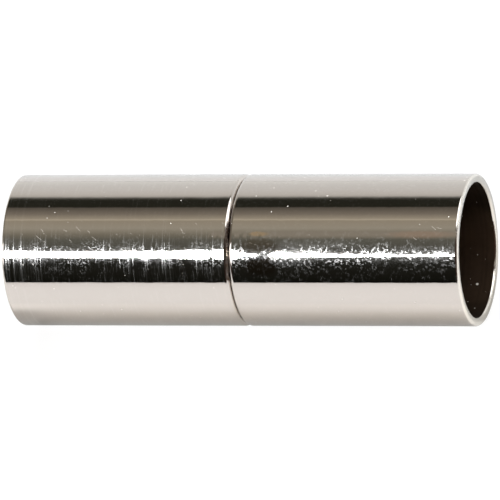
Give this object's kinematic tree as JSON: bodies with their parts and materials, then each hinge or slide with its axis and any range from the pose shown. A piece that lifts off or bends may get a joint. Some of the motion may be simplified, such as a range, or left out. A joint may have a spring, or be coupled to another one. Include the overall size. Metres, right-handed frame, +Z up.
{
  "type": "magnetic clasp",
  "caption": "Round tube-shaped magnetic clasp: halves that meet at a rounded seam, each with a deep open socket for a glued-in cord.",
  "frame": {"origin": "on the surface that the closed clasp lies on, straight below the seam between the halves", "axes": "+X along the clasp's axis, out of the right half's open end; +Z up"},
  "size_m": [0.022, 0.007, 0.007],
  "materials": {
    "plated_barrel": "bright plating on brass, with fine hairlines round the barrel",
    "magnet": "satin nickel plating on a sintered magnet"
  },
  "bodies": {
    "left_half": {"left_barrel": "plated_barrel", "left_magnet": "magnet"},
    "right_half": {"right_barrel": "plated_barrel", "right_magnet": "magnet"}
  },
  "joints": [
    {"name": "pull_apart", "type": "slide", "parent": "left_half", "child": "right_half", "axis": [1, 0, 0], "range_m": [0, 0.012]}
  ]
}
